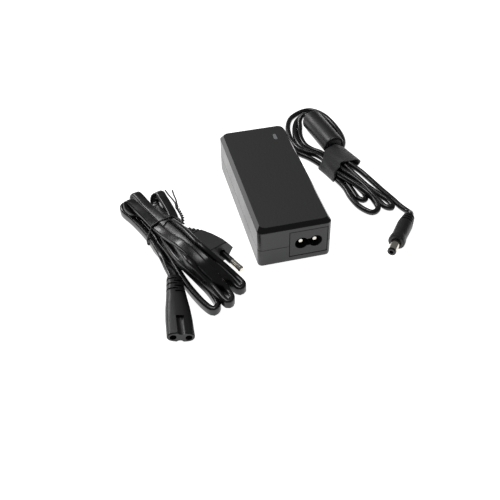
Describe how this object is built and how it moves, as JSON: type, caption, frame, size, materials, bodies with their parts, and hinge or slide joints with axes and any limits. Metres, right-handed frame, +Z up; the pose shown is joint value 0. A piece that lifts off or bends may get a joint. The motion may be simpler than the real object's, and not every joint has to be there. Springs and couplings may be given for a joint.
{
  "type": "laptop power adapter",
  "caption": "External laptop power supply: plastic brick with a figure-8 mains inlet, strapped output cord with ferrite and barrel plug, and a detachable two-pin mains lead.",
  "frame": {"origin": "middle of the brick's underside, on the surface it stands on", "axes": "+Z up, +Y along the brick from the inlet end to the output-cord end, +X to the right seen from the inlet end"},
  "size_m": [0.1796, 0.2025, 0.029],
  "materials": {
    "shell_plastic": "fine moulded texture with a polished bevel",
    "socket_plastic": "moulded satin",
    "clear_plastic": "frosted light pipe",
    "led_epoxy": "diffused epoxy",
    "nickel": "bright nickel plate",
    "label_film": "blank printed film, satin",
    "board_laminate": "solder resist",
    "glass_fuse": "clear glass tube",
    "choke_winding": "enamelled copper wire",
    "film_capacitor": "moulded box",
    "ceramic_disc": "dipped coating",
    "epoxy_package": "moulded epoxy",
    "can_sleeve": "shrink sleeve",
    "heatsink_aluminium": "mill finish",
    "ferrite": "sintered ferrite, dull dark grey",
    "winding_tape": "polyester tape",
    "insulation_film": "polyester film",
    "wire_red": "PVC wire insulation",
    "wire_black": "PVC wire insulation",
    "cord_pvc": "flexible PVC, glossy",
    "overmould_pvc": "flexible PVC overmould, satin",
    "loop_fabric": "brushed hook-and-loop webbing",
    "tip_plastic": "moulded black insulator",
    "tie_film": "plastic-coated wire"
  },
  "bodies": {
    "adapter": {"top_cover": "shell_plastic", "bottom_cover": "shell_plastic", "rating_label": "label_film", "led_window": "clear_plastic", "status_led": "led_epoxy", "inlet_body": "socket_plastic", "inlet_pin_left": "nickel", "inlet_pin_right": "nickel", "circuit_board": "board_laminate", "insulation_sheet": "insulation_film", "fuse": "glass_fuse", "x_capacitor": "film_capacitor", "line_filter_choke": "choke_winding", "y_capacitor": "ceramic_disc", "bridge_rectifier": "epoxy_package", "bulk_capacitor": "can_sleeve", "primary_heatsink": "heatsink_aluminium", "switching_transistor": "epoxy_package", "transformer_core": "ferrite", "transformer_winding": "winding_tape", "optocoupler": "epoxy_package", "controller_chip": "epoxy_package", "output_heatsink": "heatsink_aluminium", "output_rectifier": "epoxy_package", "output_capacitor_1": "can_sleeve", "output_capacitor_2": "can_sleeve", "output_choke": "choke_winding", "output_wire_positive": "wire_red", "output_wire_negative": "wire_black", "output_strain_relief": "overmould_pvc", "ferrite_sleeve": "overmould_pvc", "ferrite_core": "ferrite", "ferrite_end_cap": "overmould_pvc", "cord_through_ferrite": "cord_pvc", "output_cord_hank": "cord_pvc", "output_cord_tail": "cord_pvc", "output_cord_plug_lead": "cord_pvc", "hook_and_loop_strap": "loop_fabric", "output_plug_grip": "overmould_pvc", "output_plug_barrel": "nickel", "output_plug_tip": "tip_plastic", "output_plug_contact": "nickel"},
    "mains_lead": {"mains_connector_body": "overmould_pvc", "connector_contact_left": "nickel", "connector_contact_right": "nickel", "connector_lead": "cord_pvc", "mains_cord_hank": "cord_pvc", "mains_plug_body": "overmould_pvc", "mains_pin_sleeve_left": "tip_plastic", "mains_plug_pin_left": "nickel", "mains_pin_sleeve_right": "tip_plastic", "mains_plug_pin_right": "nickel", "twist_tie": "tie_film"}
  },
  "joints": [
    {"name": "mains_lead_slide", "type": "slide", "parent": "adapter", "child": "mains_lead", "axis": [-1, 0, 0], "range_m": [0, 0.12]}
  ]
}
